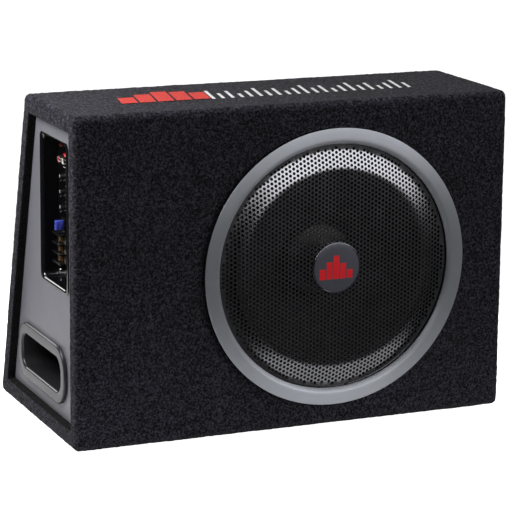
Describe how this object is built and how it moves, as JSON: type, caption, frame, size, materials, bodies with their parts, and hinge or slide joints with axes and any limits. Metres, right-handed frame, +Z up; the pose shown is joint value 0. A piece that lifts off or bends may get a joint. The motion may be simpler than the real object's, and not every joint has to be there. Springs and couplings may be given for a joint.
{
  "type": "powered car subwoofer",
  "caption": "Carpeted wedge cabinet with a large front driver behind a round grille and trim ring, a slot port and an amplifier panel in one end.",
  "frame": {"origin": "on the floor under the middle of the bounding box", "axes": "+Z up, -Y the way the driver faces, -X the end with the amplifier window and the port"},
  "size_m": [0.5256, 0.282, 0.3756],
  "materials": {
    "fibreboard": "matte",
    "fascia": "satin",
    "carpet": "matte",
    "black_plastic": "satin",
    "black_steel": "satin",
    "rubber": "matte",
    "spider_cloth": "matte",
    "paper": "matte",
    "polyimide": "satin",
    "copper": "satin",
    "zinc": "satin",
    "ferrite": "matte",
    "ring": "satin",
    "badge": "gloss",
    "red_plastic": "gloss",
    "white_plastic": "gloss",
    "blue_plastic": "gloss",
    "brass": "satin",
    "board_green": "satin",
    "aluminium": "satin",
    "cable_red": "satin",
    "cable_black": "satin"
  },
  "bodies": {
    "cabinet": {"front_baffle": "fibreboard", "top_panel": "fibreboard", "bottom_panel": "fibreboard", "back_panel": "fibreboard", "right_end_panel": "fibreboard", "left_end_panel": "fibreboard", "left_fascia": "fascia", "carpet_wrap": "carpet", "carpet_bottom": "carpet", "carpet_right_end": "carpet", "port_flare": "fascia", "port_duct": "black_plastic", "basket": "black_steel", "gasket": "rubber", "surround": "rubber", "spider": "spider_cloth", "top_plate": "zinc", "magnet": "ferrite", "yoke": "zinc", "terminal_strip": "fibreboard", "tinsel_lead_positive": "copper", "tinsel_lead_negative": "copper", "trim_ring": "ring", "grille": "black_steel", "badge": "badge", "amp_bezel": "black_plastic", "connector_plate": "black_steel", "input_jack_right": "red_plastic", "input_jack_left": "white_plastic", "power_light": "red_plastic", "speaker_level_socket": "white_plastic", "fuse_holder": "black_plastic", "power_terminal_block": "black_plastic", "clamp_screw_ground": "brass", "clamp_screw_remote": "brass", "clamp_screw_supply": "brass", "circuit_board": "board_green", "heatsink": "aluminium", "capacitor_upper": "black_plastic", "capacitor_lower": "black_plastic", "transformer": "copper", "speaker_lead_positive": "cable_red", "speaker_lead_negative": "cable_black", "basket_screw_1": "black_steel", "basket_screw_2": "black_steel", "basket_screw_3": "black_steel", "basket_screw_4": "black_steel", "basket_screw_5": "black_steel", "basket_screw_6": "black_steel", "basket_screw_7": "black_steel", "basket_screw_8": "black_steel"},
    "cone_assembly": {"cone": "paper", "dust_cap": "paper", "coil_former": "polyimide", "voice_coil": "copper"},
    "gain_control": {"gain_knob": "black_plastic"},
    "low_pass_control": {"low_pass_knob": "black_plastic"},
    "bass_boost_control": {"bass_boost_knob": "black_plastic"},
    "phase_slider": {"phase_switch": "white_plastic"},
    "fuse_body": {"fuse": "blue_plastic"}
  },
  "joints": [
    {"name": "cone_travel", "type": "slide", "parent": "cabinet", "child": "cone_assembly", "axis": [0, -1, 0], "range_m": [-0.008, 0.008], "stiffness_N_per_m": 3000, "deforming": ["surround", "spider", "tinsel_lead_positive", "tinsel_lead_negative"]},
    {"name": "gain_turn", "type": "hinge", "parent": "cabinet", "child": "gain_control", "pos_m": [-0.239, -0.0271, 0.289], "axis": [-1, 0, 0], "range_deg": [-150, 150]},
    {"name": "low_pass_turn", "type": "hinge", "parent": "cabinet", "child": "low_pass_control", "pos_m": [-0.239, -0.0271, 0.2715], "axis": [-1, 0, 0], "range_deg": [-150, 150]},
    {"name": "bass_boost_turn", "type": "hinge", "parent": "cabinet", "child": "bass_boost_control", "pos_m": [-0.239, -0.0271, 0.254], "axis": [-1, 0, 0], "range_deg": [-150, 150]},
    {"name": "phase_slide", "type": "slide", "parent": "cabinet", "child": "phase_slider", "axis": [0, 0, 1], "range_m": [0, 0.004]},
    {"name": "fuse_pull", "type": "slide", "parent": "cabinet", "child": "fuse_body", "axis": [-1, 0, 0], "range_m": [0, 0.01]}
  ]
}
